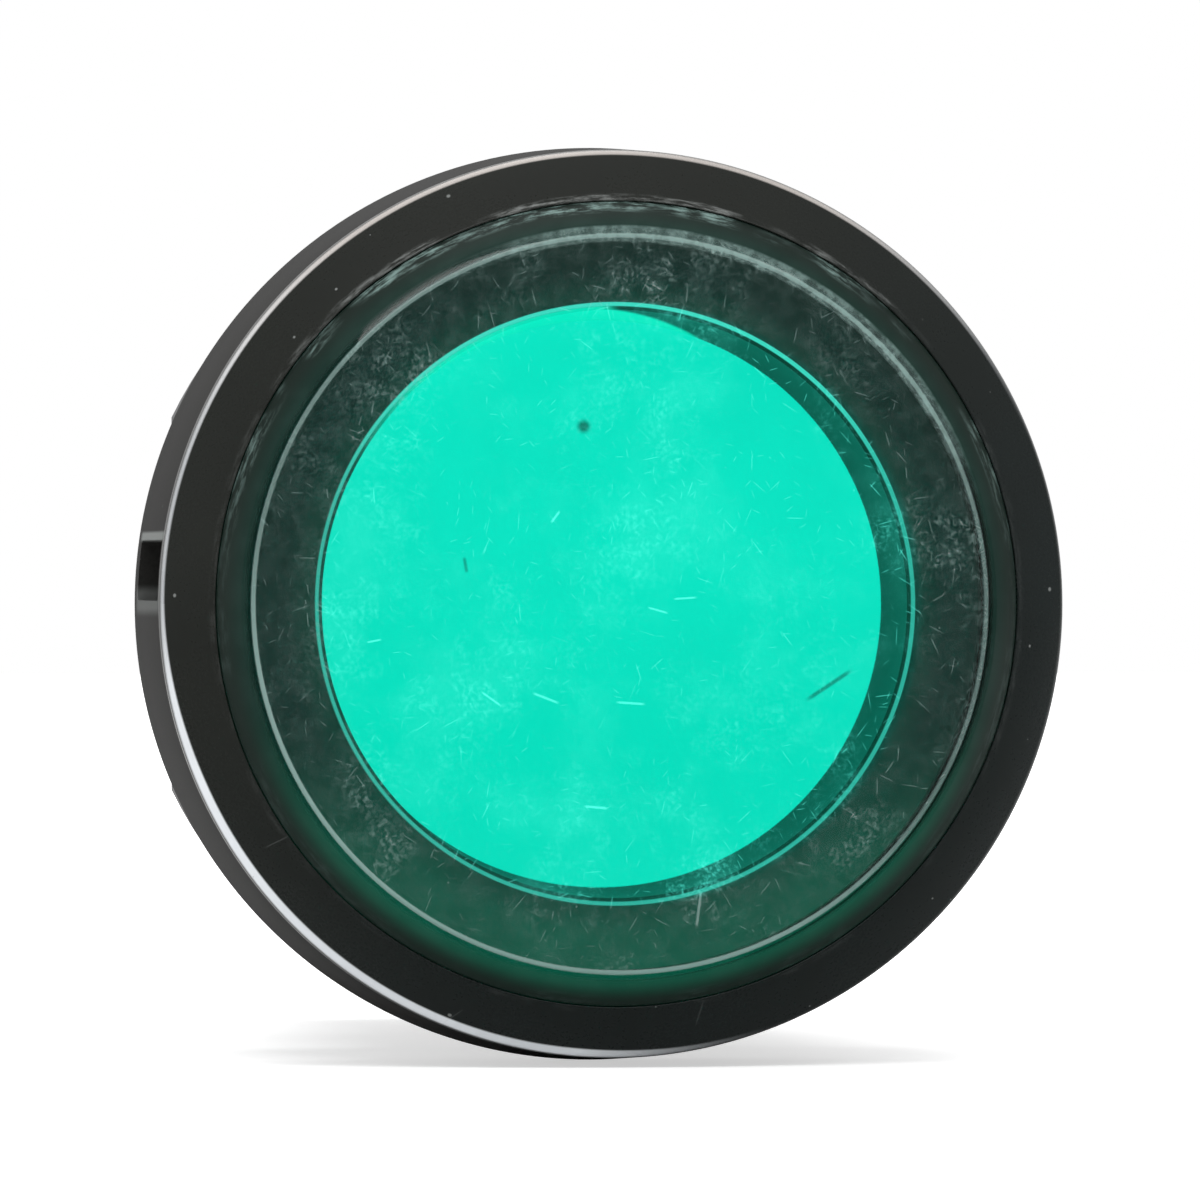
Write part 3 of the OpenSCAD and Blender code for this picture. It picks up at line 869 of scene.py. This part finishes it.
def turn_outline(name: str, outline: Sequence[Point], segments: int = 192) -> bpy.types.Object:
    """Turns an outline round the light's axis.

    Args:
        name: Name of the piece.
        outline: Points of (radius, height) in mm. An outline that starts and ends at radius
            0 gives a disc-like piece, and any other one is closed into a ring.
        segments: Faces round the axis.

    Returns:
        The closed piece.
    """
    pole = outline[0][0] == 0
    rings = [p for p in outline if p[0] > 0]
    if not pole:
        rings.append(rings[0])
    bpy.ops.object.select_all(action="DESELECT")
    bpy.ops.mesh.primitive_circle_add(
        vertices=segments,
        radius=rings[0][0] * MM,
        location=(0, -rings[0][1] * MM, 0),
        rotation=(pi / 2, 0, 0),
    )
    piece = settle(name)
    enter_edit(piece)
    for (r, h), (next_r, next_h) in zip(rings, rings[1:]):
        bpy.ops.mesh.extrude_region_move(
            TRANSFORM_OT_translate={"value": (0, (h - next_h) * MM, 0)}
        )
        if abs(next_r - r) > 1e-6:
            bpy.ops.transform.resize(
                value=(next_r / r, 1, next_r / r), center_override=(0, -next_h * MM, 0)
            )
    bpy.ops.mesh.select_all(action="SELECT")
    bpy.ops.mesh.remove_doubles(threshold=1e-7)
    if pole:
        bpy.ops.mesh.fill_holes(sides=0)
    leave_edit()
    clean(piece)
    return piece


def block(name: str, low: Sequence[float], high: Sequence[float]) -> bpy.types.Object:
    """Adds a box between two corners, in mm, for cutting.

    Args:
        name: Name of the box.
        low: Its corner with the lowest X, Y and Z.
        high: Its opposite corner.

    Returns:
        The box.
    """
    bpy.ops.object.select_all(action="DESELECT")
    bpy.ops.mesh.primitive_cube_add(
        size=1,
        location=[(a + b) / 2 * MM for a, b in zip(low, high)],
        scale=[(b - a) * MM for a, b in zip(low, high)],
    )
    return settle(name)


def combine(piece: bpy.types.Object, tool: bpy.types.Object, operation: str) -> None:
    """Applies a Boolean of a piece and a tool, and removes the tool.

    Args:
        piece: The piece that keeps the result.
        tool: The piece that it is combined with.
        operation: DIFFERENCE, INTERSECT or UNION.
    """
    alone(piece)
    change = piece.modifiers.new("combine", "BOOLEAN")
    change.operation = operation
    change.solver = "EXACT"
    change.object = tool
    bpy.ops.object.modifier_apply(modifier=change.name)
    bpy.data.objects.remove(tool, do_unlink=True)


def round_edges(
    piece: bpy.types.Object, width: float, segments: int = 2, angle: float = 35
) -> None:
    """Rounds the sharp edges of a piece.

    Args:
        piece: The piece.
        width: Width of the rounding, in mm.
        segments: Steps in the rounding.
        angle: Smallest angle between faces that counts as sharp, in degrees.
    """
    alone(piece)
    change = piece.modifiers.new("rounding", "BEVEL")
    change.width = width * MM
    change.segments = segments
    change.limit_method = "ANGLE"
    change.angle_limit = radians(angle)
    change.harden_normals = False
    bpy.ops.object.modifier_apply(modifier=change.name)


def fine_copy(node: str, width: float, segments: int = 2) -> bpy.types.Object:
    """Copies a CAD node's mesh, merges it into clean faces and rounds its edges.

    Args:
        node: Name of the CAD node.
        width: Width of the rounding, in mm.
        segments: Steps in the rounding.

    Returns:
        The new piece.
    """
    piece = bpy.data.objects.new(node + "_piece", frame["nodes"][node].data.copy())
    bpy.context.scene.collection.objects.link(piece)
    alone(piece)
    if piece.data.has_custom_normals:
        bpy.ops.mesh.customdata_custom_splitnormals_clear()
    enter_edit(piece)
    bpy.ops.mesh.remove_doubles(threshold=1e-6)
    bpy.ops.mesh.dissolve_limited(angle_limit=radians(0.3))
    leave_edit()
    round_edges(piece, width, segments)
    clean(piece)
    smooth(piece)
    return piece


def hand_over(piece: bpy.types.Object, node: str, finish: Finish) -> None:
    """Dresses a piece and lets it stand for its CAD node on that node's body.

    Args:
        piece: The new piece.
        node: The CAD node that it replaces.
        finish: Its finish.
    """
    finish.dress(piece)
    bodies = frame["record"]["behaviour"]["bodies"]
    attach(piece, next(body for body, nodes in bodies.items() if node in nodes))
    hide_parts(node)
    LOG.info("%s: %d faces for %s", piece.name, len(piece.data.polygons), node)


# ---------------------------------------------------------------------------
# Sub-assemblies
# ---------------------------------------------------------------------------


@dataclass
class Housing:
    """Black moulding with the crowned head, the neck and the threaded barrel."""

    head_r: float = reach("housing", 0)
    crown_h: float = -reach("housing", 1, False)
    barrel_end: float = reach("housing", 1)
    rim_r: float = 14.2
    rim_h: float = 8.6
    rim_round: float = 0.35
    recess_r: float = 12.55
    lip_round: float = 0.04
    groove_r: float = 12.8
    groove_h: float = 6.75
    groove_w: float = 0.8
    foot_h: float = 1.2
    foot_chamfer: float = 0.3
    land_r: float = 11.6
    land_h: float = 0.1
    neck_r: float = 11.05
    neck_end: float = 1.6
    crest_r: float = 10.85
    pitch: float = 1.5
    thread_start: float = 2.1
    thread_chamfer: float = 0.5
    bore_r: float = 9.0
    seal_floor_h: float = 5.0
    collar_r: float = 11.45
    shoulder_h: float = 3.2
    board_bore_r: float = 9.5
    board_ledge_h: float = -2.0
    ridge_sunk: float = 0.13
    ridge_base_w: float = 1.3
    ridge_crest_w: float = 0.12
    # Half the width of the keyway, and the radius of its floor
    key_side: float = 1.0
    key_r: float = 9.95
    notch_angle: float = 175.8
    notch_r: float = 13.5
    notch_side: float = 0.95
    notch_foot_h: float = 2.4
    notch_top_h: float = 7.9
    notch_round: float = 0.12

    @property
    def root_r(self) -> float:
        """Radius at the bottom of the thread."""
        return self.crest_r - 0.54 * self.pitch

    def outline(self) -> list[Point]:
        """Gives the outline of the moulding, with a plain barrel at the thread's root.

        Returns:
            Points of (radius, height), in mm.
        """
        lean = 2.3
        slope = 54.0
        return [
            (self.bore_r, -self.barrel_end),
            (self.root_r, -self.barrel_end),
            (self.root_r, -self.thread_start),
            (self.neck_r, -self.neck_end),
            (self.neck_r, self.land_h),
            (self.land_r, self.land_h),
            (self.land_r, self.foot_h),
            *arc(
                self.head_r - self.foot_chamfer,
                self.foot_h + self.foot_chamfer,
                self.foot_chamfer,
                -90,
                0,
                6,
            ),
            *arc(
                self.rim_r - self.rim_round,
                self.rim_h - self.rim_round,
                self.rim_round,
                lean,
                slope,
                12,
            ),
            *arc(
                self.recess_r + self.lip_round,
                self.crown_h - self.lip_round,
                self.lip_round,
                slope,
                180,
                8,
            ),
            (self.recess_r, self.groove_h + self.groove_w / 2 + 0.1),
            (self.groove_r, self.groove_h + self.groove_w / 2),
            (self.groove_r, self.groove_h - self.groove_w / 2),
            (self.recess_r, self.groove_h - self.groove_w / 2 - 0.1),
            (self.recess_r, self.seal_floor_h),
            (self.collar_r, self.seal_floor_h),
            (self.collar_r, self.shoulder_h),
            (self.board_bore_r, self.shoulder_h),
            (self.board_bore_r, self.board_ledge_h),
            (self.bore_r, self.board_ledge_h),
        ]

    def keyway(self, side: float, floor_r: float) -> bpy.types.Object:
        """Gives the block that cuts the keyway at the bottom of the barrel.

        Args:
            side: Half the width of the keyway, in mm.
            floor_r: Radius of its floor, in mm.

        Returns:
            The block, longer than the barrel and reaching past its thread.
        """
        outside = -12
        return block(
            "keyway", (-side, -self.land_h, outside), (side, self.barrel_end + 1, -floor_r)
        )

    def notch(self) -> bpy.types.Object:
        """Gives the block that cuts the finger notch in the wall of the head.

        Returns:
            The block.
        """
        outside = 15.2
        tool = block(
            "notch",
            (self.notch_r, -self.notch_top_h, -self.notch_side),
            (outside, -self.notch_foot_h, self.notch_side),
        )
        enter_edit(tool)
        bpy.ops.transform.rotate(
            value=radians(self.notch_angle), orient_axis="Y", center_override=(0, 0, 0)
        )
        leave_edit()
        round_edges(tool, self.notch_round, 2)
        return tool

    def ridge(self) -> bpy.types.Object:
        """Winds the ridge of the thread and trims its crest, its ends and the keyway.

        Returns:
            The trimmed ridge.
        """
        over = 0.06
        ridge = wind_ridge(
            "thread",
            (
                self.root_r - self.ridge_sunk,
                self.ridge_base_w,
                self.crest_r + over,
                self.ridge_crest_w,
            ),
            (self.thread_start - self.pitch, self.barrel_end + self.pitch),
            self.pitch,
        )
        envelope = self.envelope()
        combine(envelope, self.keyway(self.key_side + 0.02, self.key_r - 0.25), "DIFFERENCE")
        combine(ridge, envelope, "INTERSECT")
        return ridge

    def envelope(self) -> bpy.types.Object:
        """Turns the space that the thread may fill.

        Returns:
            The space, as a closed piece.
        """
        inner = self.root_r - 0.4
        end = -self.barrel_end
        start = -self.thread_start
        slant = self.crest_r - self.root_r
        return turn_outline(
            "envelope",
            [
                (inner, end + 0.01),
                (self.crest_r - self.thread_chamfer, end + 0.01),
                (self.crest_r, end + self.thread_chamfer),
                (self.crest_r, start - slant),
                (self.root_r - 0.05, start),
                (inner, start),
            ],
        )

    def build(self) -> None:
        """Builds and dresses the moulding."""
        piece = turn_outline("housing_piece", self.outline(), 256)
        combine(piece, self.notch(), "DIFFERENCE")
        combine(piece, self.keyway(self.key_side, self.key_r), "DIFFERENCE")
        combine(piece, self.ridge(), "UNION")
        clean(piece)
        smooth(piece, 28)
        hand_over(piece, "housing", BLACK_GLOSS)


def wind_ridge(
    name: str, section: tuple[float, float, float, float], span: Point, pitch: float
) -> bpy.types.Object:
    """Winds the ridge of a right-hand thread round the light's axis.

    Args:
        name: Name of the ridge.
        section: Radius and width of its base, and radius and width of its crest, in mm.
        span: Depths of its ends, in mm.
        pitch: Pitch of the thread, in mm.

    Returns:
        The closed ridge.
    """
    base_r, base_w, crest_r, crest_w = section
    bpy.ops.object.select_all(action="DESELECT")
    bpy.ops.mesh.primitive_plane_add(
        size=1,
        location=((base_r + crest_r) / 2 * MM, span[0] * MM, 0),
    )
    piece = bpy.context.object
    piece.scale = (abs(crest_r - base_r) * MM, base_w * MM, 1)
    piece = settle(name)
    enter_edit(piece, False)
    mesh = bmesh.from_edit_mesh(piece.data)
    for vertex in mesh.verts:
        vertex.select = abs(vertex.co.x / MM - crest_r) < abs(vertex.co.x / MM - base_r)
    mesh.select_flush_mode()
    bmesh.update_edit_mesh(piece.data)
    bpy.ops.transform.resize(
        value=(1, crest_w / base_w, 1), center_override=(crest_r * MM, span[0] * MM, 0)
    )
    bpy.ops.mesh.select_all(action="SELECT")
    bpy.ops.mesh.delete(type="ONLY_FACE")
    leave_edit()
    wind = piece.modifiers.new("winding", "SCREW")
    wind.axis = "Y"
    wind.angle = 2 * pi
    wind.screw_offset = pitch * MM
    wind.iterations = round((span[1] - span[0]) / pitch)
    wind.steps = 96
    wind.render_steps = 96
    wind.use_merge_vertices = False
    bpy.ops.object.modifier_apply(modifier=wind.name)
    enter_edit(piece)
    bpy.ops.mesh.fill_holes(sides=0)
    leave_edit()
    clean(piece)
    return piece


@dataclass
class LensStack:
    """Lens, light collar and diffuser: what the front shows inside the head. The lens seal keeps
    its CAD shape.
    """

    top_h: float = -reach("lens", 1, False)
    lens_r: float = 12.45
    fill: float = 0.07
    flat_r: float = 11.45
    crown_h: float = 9.8
    plate_back: float = 8.65
    skirt_in: float = 11.55
    skirt_foot: float = -reach("lens", 1)
    bead_r: float = reach("lens", 0)
    collar_r: float = reach("light_collar", 0)
    mouth_r: float = 9.38
    throat_r: float = 8.95
    bevel: float = 0.2
    diffuser_h: float = -reach("diffuser", 1, False)
    diffuser_r: float = reach("diffuser", 0)

    def lens(self) -> bpy.types.Object:
        """Turns the lens with its round front edge, shoulder, skirt and bead.

        Returns:
            The lens.
        """
        bead_low, bead_high = self.skirt_foot + 0.4, self.skirt_foot + 1.2
        rise = self.bead_r - self.lens_r
        return turn_outline(
            "lens_piece",
            [
                (0, self.top_h),
                (self.flat_r - 1, self.top_h),
                *arc(self.flat_r - 0.05, self.top_h - 0.2, 0.2, 90, 68, 4),
                *arc(self.flat_r + 0.2, self.top_h - 0.42, 0.25, 68, 48, 4),
                (self.lens_r + self.fill, self.crown_h - 0.02),
                (self.lens_r + self.fill, self.crown_h - 0.3),
                (self.lens_r, self.crown_h - 0.3),
                (self.lens_r, bead_high),
                (self.bead_r, bead_high - rise),
                (self.bead_r, bead_low + rise),
                (self.lens_r, bead_low),
                (self.lens_r, self.skirt_foot),
                (self.skirt_in, self.skirt_foot),
                *arc(self.skirt_in - 0.2, self.plate_back - 0.2, 0.2, 0, 90, 4),
                (self.mouth_r, self.plate_back),
                (0, self.plate_back),
            ],
            256,
        )

    def collar(self) -> bpy.types.Object:
        """Turns the collar, whose bevelled mouth narrows to the diffuser.

        Returns:
            The collar.
        """
        top = self.plate_back - 0.05
        lap = self.diffuser_r + 0.05
        lap_h = self.diffuser_h + 0.05
        return turn_outline(
            "light_collar_piece",
            [
                (self.collar_r, 3.2),
                (self.collar_r, top),
                (self.mouth_r, top),
                (self.mouth_r - self.bevel, top - self.bevel),
                (self.throat_r + 0.02, lap_h + 0.05),
                (self.throat_r, lap_h),
                (lap, lap_h),
                (lap, 3.2),
            ],
            256,
        )

    def diffuser(self) -> bpy.types.Object:
        """Turns the milky cap, hollow behind.

        Returns:
            The cap.
        """
        inner = self.diffuser_r - 0.7
        back = -reach("diffuser", 1)
        inside = self.diffuser_h - 1.2
        return turn_outline(
            "diffuser_piece",
            [
                (0, self.diffuser_h),
                (6.0, self.diffuser_h),
                *arc(self.diffuser_r - 0.15, self.diffuser_h - 0.15, 0.15, 90, 0, 4),
                (self.diffuser_r, back),
                (inner, back),
                (inner, inside),
                (0, inside),
            ],
        )

    def build(self) -> None:
        """Builds and dresses the stack."""
        for piece, node, finish in (
            (self.lens(), "lens", GREEN_LENS),
            (self.collar(), "light_collar", SMOKY_COLLAR),
            (self.diffuser(), "diffuser", LIT_DIFFUSER),
        ):
            smooth(piece, 25)
            hand_over(piece, node, finish)


@dataclass
class Fixing:
    """Gasket, lock washer and ring nut that hold the light in its panel."""

    gasket_in: float = 11.7
    gasket_out: float = reach("gasket", 0)
    gasket_t: float = 1.2

    def gasket(self) -> bpy.types.Object:
        """Turns the rubber ring, with grooves in both faces and a rounded edge.

        Returns:
            The ring.
        """
        t = self.gasket_t
        groove = 0.12
        middles = (12.35, 12.95)
        front = [(self.gasket_in, t)]
        for mid in middles:
            front += [(mid - 0.2, t), (mid - 0.1, t - groove)]
            front += [(mid + 0.1, t - groove), (mid + 0.2, t)]
        back = [(r, t - h) for r, h in reversed(front)]
        edge = arc(self.gasket_out - 0.3, t / 2, 0.3, 60, -60, 6)
        top = [(self.gasket_out - 0.15, t), *edge, (self.gasket_out - 0.15, 0)]
        return turn_outline("gasket_piece", front + top + back, 160)

    def build(self) -> None:
        """Builds and dresses the ring, the washer and the nut."""
        gasket = self.gasket()
        smooth(gasket)
        hand_over(gasket, "gasket", SEAL_RUBBER)
        hand_over(fine_copy("lock_washer", 0.08), "lock_washer", PLATED_STEEL)
        nut = fine_copy("ring_nut", 0.15, 4)
        smooth(nut, 20)
        hand_over(nut, "ring_nut", NUT_PLASTIC)


@dataclass
class Terminals:
    """Terminal base, plates, clamps, screws and the clear guard at the rear."""

    edge: float = 0.15
    fine_edge: float = 0.06

    def build(self) -> None:
        """Builds and dresses the terminal pieces."""
        hand_over(fine_copy("terminal_base", self.edge), "terminal_base", BLACK_MATTE)
        hand_over(fine_copy("terminal_guard", self.edge), "terminal_guard", CLEAR_GUARD)
        for side in ("a", "b"):
            for kind, finish in (
                ("terminal_plate_", BRASS),
                ("wire_clamp_", PLATED_STEEL),
                ("terminal_screw_", PLATED_STEEL),
            ):
                hand_over(fine_copy(kind + side, self.fine_edge), kind + side, finish)


@dataclass
class CadNodes:
    """The CAD's own nodes: the sealed pieces, and those that finer pieces stand for."""

    finishes: tuple[tuple[str, Finish], ...] = (
        ("lens_seal", SEAL_RUBBER),
        ("led_board", WHITE_BOARD),
        ("leds", LED_BODY),
        ("link_pins", BRASS),
        ("driver_board", GREEN_BOARD),
        ("film_capacitor", CAPACITOR_BOX),
        ("smoothing_capacitor", CAPACITOR_CAN),
        ("resistors", RESISTOR_BODY),
        ("rectifier", CHIP_PLASTIC),
        ("housing", BLACK_GLOSS),
        ("lens", GREEN_LENS),
        ("light_collar", SMOKY_COLLAR),
        ("diffuser", LIT_DIFFUSER),
        ("gasket", SEAL_RUBBER),
        ("lock_washer", PLATED_STEEL),
        ("ring_nut", NUT_PLASTIC),
        ("terminal_base", BLACK_MATTE),
        ("terminal_guard", CLEAR_GUARD),
        ("terminal_plate_a", BRASS),
        ("terminal_plate_b", BRASS),
        ("wire_clamp_a", PLATED_STEEL),
        ("wire_clamp_b", PLATED_STEEL),
        ("terminal_screw_a", PLATED_STEEL),
        ("terminal_screw_b", PLATED_STEEL),
    )

    def build(self) -> None:
        """Dresses the nodes, whose shapes are kept."""
        for node, finish in self.finishes:
            finish.dress(frame["nodes"][node])


# ---------------------------------------------------------------------------
# Studio
# ---------------------------------------------------------------------------


class LampKind(Enum):
    """What a lamp is for."""

    FRONT = "front"
    TOP = "top"
    LEFT = "left"


@dataclass(frozen=True)
class Lamp:
    """A soft light that looks at the pilot light."""

    kind: LampKind
    place: tuple[float, float, float]
    size: Point
    power: float

    def build(self) -> None:
        """Adds the lamp, aimed at the middle of the object."""
        data = bpy.data.lights.new(self.kind.value + "_lamp", "AREA")
        data.shape = "RECTANGLE"
        data.size, data.size_y = self.size
        data.energy = self.power
        lamp = bpy.data.objects.new(self.kind.value + "_lamp", data)
        bpy.context.scene.collection.objects.link(lamp)
        lamp.location = self.place
        aim = Vector((0, 0, 0)) - Vector(self.place)
        lamp.rotation_euler = aim.to_track_quat("-Z", "Y").to_euler()


@dataclass
class Studio:
    """Floor, world, lamps and camera."""

    floor_z: float = CAD_BOX[0][2]
    floor_side: float = 4.0
    yaw: float = 6.1
    distance: float = 0.38
    focal: float = 365.1
    aim: tuple[float, float, float] = (-0.00043, -0.0086, 0.00012)

    def floor(self) -> None:
        """Adds the pale floor under the object."""
        bpy.ops.object.select_all(action="DESELECT")
        bpy.ops.mesh.primitive_plane_add(size=self.floor_side, location=(0, 0, self.floor_z))
        piece = settle("floor")
        material = bpy.data.materials.new("floor_finish")
        material.use_nodes = True
        g = Graph(material.node_tree)
        place, x, y, z = g.point()
        far = g.step(g.distance(x, y), 20, 160)
        seen = g.node("ShaderNodeLightPath", output="Is Camera Ray")
        pale = g.surface(Base_Color=(0.86, 0.86, 0.86), Roughness=0.9, IOR_Level=0.1)
        dim = g.surface(Base_Color=(0.08, 0.08, 0.08), Roughness=0.9, IOR_Level=0.1)
        mirrored = g.node("ShaderNodeLightPath", output="Is Glossy Ray")
        lift = g.node("ShaderNodeEmission", None, {"Strength": seen * (0.55 + 0.47 * far)})
        matt = g.over(mirrored * g.step(y, -3, -14), pale, dim)
        both = g.node("ShaderNodeAddShader", None, {0: matt, 1: lift})
        g.node("ShaderNodeOutputMaterial", None, {"Surface": both})
        piece.data.materials.append(material)

    def world(self) -> None:
        """Sets a white background and a softer light that is stronger from above."""
        world = bpy.data.worlds.new("studio")
        bpy.context.scene.world = world
        world.use_nodes = True
        g = Graph(world.node_tree)
        path = g.tree.nodes.new("ShaderNodeLightPath")
        camera = Term(g, path.outputs["Is Camera Ray"])
        split = g.tree.nodes.new("ShaderNodeSeparateXYZ")
        way = g.node("ShaderNodeTexCoord", output="Generated")
        g.tree.links.new(way.socket, split.inputs[0])
        up = Term(g, split.outputs[2])
        depth = Term(g, split.outputs[1])
        glossy = Term(g, path.outputs["Is Glossy Ray"])
        around = g.step(depth, 0.2, 0.5) * g.step(depth, 0.99, 0.9)
        beside = 0.1 + 0.2 * g.step(depth, -0.75, -0.3)
        seen = beside + around * (0.75 + 0.5 * g.step(up, -0.2, 0.8))
        seen = seen + 0.25 * g.step(depth, 0.9, 0.99)
        soft = 0.42 + 0.3 * g.step(up, 0.1, 0.9)
        lit = glossy * seen + (1 - glossy) * soft
        strength = camera + (1 - camera) * lit
        back = g.node("ShaderNodeBackground", None, {"Color": (1, 1, 1, 1), "Strength": strength})
        g.node("ShaderNodeOutputWorld", None, {"Surface": back})

    def camera(self) -> None:
        """Adds the camera, a little to the left of the light's axis."""
        data = bpy.data.cameras.new("camera")
        data.sensor_width = 36
        data.lens = self.focal
        data.clip_start = 0.01
        camera = bpy.data.objects.new("camera", data)
        bpy.context.scene.collection.objects.link(camera)
        turn = radians(self.yaw)
        aim = Vector(self.aim)
        camera.location = aim + self.distance * Vector((-sin(turn), -cos(turn), 0))
        camera.rotation_euler = (aim - camera.location).to_track_quat("-Z", "Y").to_euler()
        bpy.context.scene.camera = camera

    def build(self) -> None:
        """Sets up the studio."""
        self.floor()
        self.world()
        for lamp in (
            Lamp(LampKind.FRONT, (0.0, -0.32, 0.3), (0.5, 0.16), 1.0),
            Lamp(LampKind.TOP, (-0.05, 0.16, 0.42), (0.3, 0.2), 0.9),
            Lamp(LampKind.LEFT, (-0.42, 0.12, -0.02), (0.2, 0.3), 0.5),
        ):
            lamp.build()
        self.camera()
        bpy.context.scene.view_settings.view_transform = "Standard"


def main() -> None:
    """Builds every sub-assembly and the studio in order."""
    logging.basicConfig(level=logging.INFO)
    CadNodes().build()
    Housing().build()
    LensStack().build()
    Fixing().build()
    Terminals().build()
    Studio().build()


if __name__ == "__main__":
    main()
